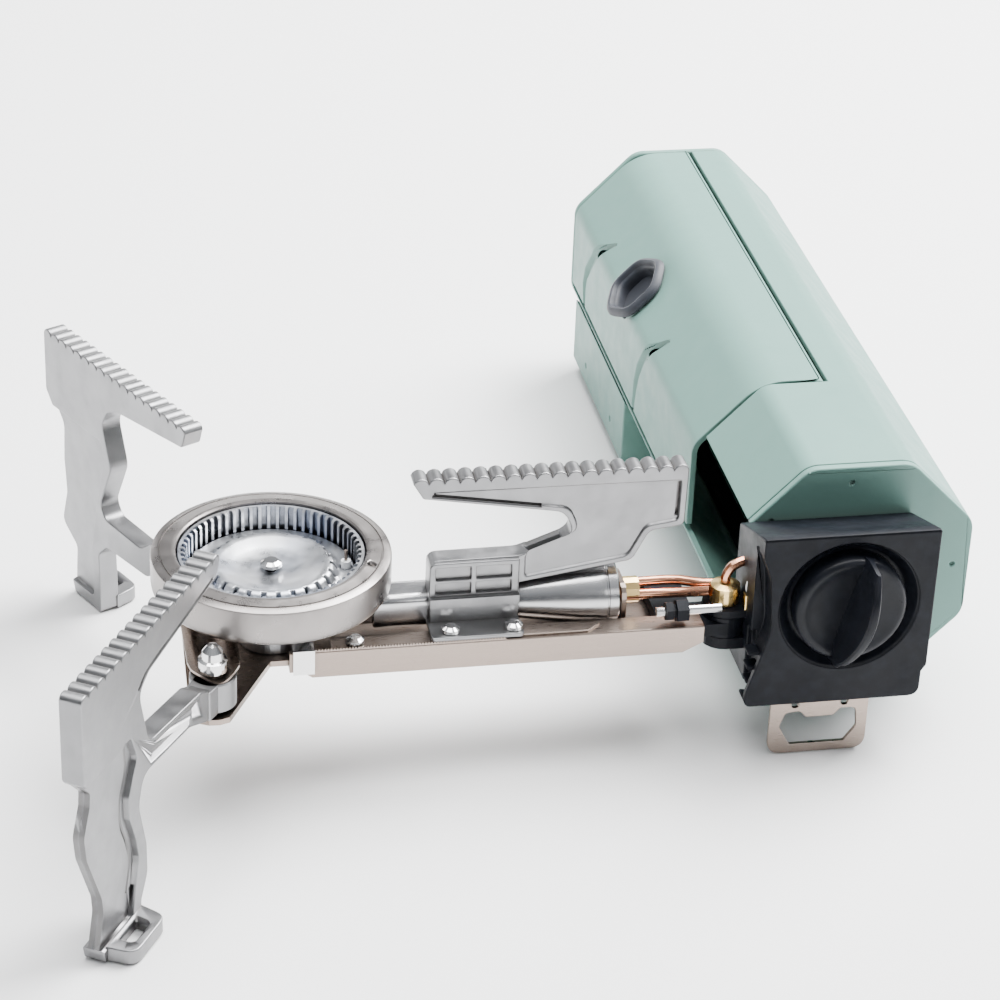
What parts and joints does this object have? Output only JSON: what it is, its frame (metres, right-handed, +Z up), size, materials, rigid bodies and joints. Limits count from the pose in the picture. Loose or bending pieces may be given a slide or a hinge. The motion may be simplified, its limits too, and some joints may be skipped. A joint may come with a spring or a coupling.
{
  "type": "camping stove",
  "caption": "Folding camping stove: octagonal cartridge housing with a lid and knob, a burner on a swinging arm, and pot supports with folding legs.",
  "frame": {"origin": "on the ground under the middle of the stove's overall box", "axes": "+Y along the housing to its back, +X along the arm from the burner to the housing, +Z up"},
  "size_m": [0.3128, 0.3886, 0.1],
  "materials": {
    "sage_shell": "sage-green powder-coat look on a moulded shell, fine grain",
    "black_plastic": "black glass-filled plastic, fine texture",
    "rubber": "black rubber",
    "stainless": "brushed stainless sheet",
    "bright_steel": "polished plated steel",
    "cast_aluminium": "satin die-cast aluminium",
    "copper": "bright copper tube",
    "brass": "turned brass",
    "ceramic": "white ceramic and white silicone insulation",
    "magnet": "dark magnet ring"
  },
  "bodies": {
    "housing": {"arm_bracket": "black_plastic", "arm_hinge_pin": "stainless", "cartridge_rail_left": "black_plastic", "cartridge_rail_right": "black_plastic", "control_box": "black_plastic", "feed_elbow": "copper", "front_collar": "sage_shell", "front_plate": "sage_shell", "gas_valve": "brass", "ignition_lead": "ceramic", "lead_connector": "brass", "lid_hinge_pin": "stainless", "lower_shell": "sage_shell", "magnet_ring": "magnet", "piezo_igniter": "black_plastic", "rear_base": "sage_shell", "rear_pad_left": "rubber", "rear_pad_right": "rubber", "rear_plate": "sage_shell"},
    "arm": {"burner_cup": "cast_aluminium", "flame_ring": "stainless", "burner_cap": "cast_aluminium", "cap_post": "bright_steel", "burner_neck": "cast_aluminium", "igniter_ceramic": "ceramic", "igniter_electrode": "stainless", "arm_channel": "stainless", "leg_carrier": "stainless", "mixing_tube": "bright_steel", "air_shutter": "bright_steel", "gas_jet": "brass", "jet_holder": "stainless", "gas_pipe": "copper", "preheat_pipe": "copper", "swivel_block": "brass", "arm_end_block": "black_plastic", "lock_bolt": "black_plastic", "lock_rod": "bright_steel", "channel_clip": "bright_steel", "channel_screw_1": "bright_steel", "channel_screw_2": "bright_steel", "channel_screw_3": "bright_steel", "right_support": "cast_aluminium", "leg_pin_front": "stainless", "leg_pin_back": "stainless", "acorn_nut_front": "bright_steel", "acorn_nut_back": "bright_steel", "blade_spring": "stainless"},
    "leg_front": {"leg_front": "cast_aluminium"},
    "leg_back": {"leg_back": "cast_aluminium"},
    "lid": {"lid": "sage_shell", "cable_grommet": "rubber"},
    "knob": {"knob": "black_plastic", "knob_shaft": "brass"},
    "foot_plate": {"foot_plate": "stainless"}
  },
  "joints": [
    {"name": "arm_swing", "type": "hinge", "parent": "housing", "child": "arm", "pos_m": [0.06876, -0.08248, 0.045], "axis": [0, 0, 1], "range_deg": [-40, 0]},
    {"name": "leg_front_fold", "type": "hinge", "parent": "arm", "child": "leg_front", "pos_m": [-0.10509, -0.11328, 0.048], "axis": [0, 0, 1], "range_deg": [0, 115]},
    {"name": "leg_back_fold", "type": "hinge", "parent": "arm", "child": "leg_back", "pos_m": [-0.10235, -0.03655, 0.048], "axis": [0, 0, 1], "range_deg": [-115, 0]},
    {"name": "lid_open", "type": "hinge", "parent": "housing", "child": "lid", "pos_m": [0.11776, 0.08432, 0.0908], "axis": [0, 1, 0], "range_deg": [0, 95]},
    {"name": "knob_turn", "type": "hinge", "parent": "housing", "child": "knob", "pos_m": [0.10476, -0.10568, 0.058], "axis": [0, 1, 0], "range_deg": [-60, 150]},
    {"name": "foot_slide", "type": "slide", "parent": "housing", "child": "foot_plate", "axis": [0, 0, 1], "range_m": [0, 0.008]}
  ]
}
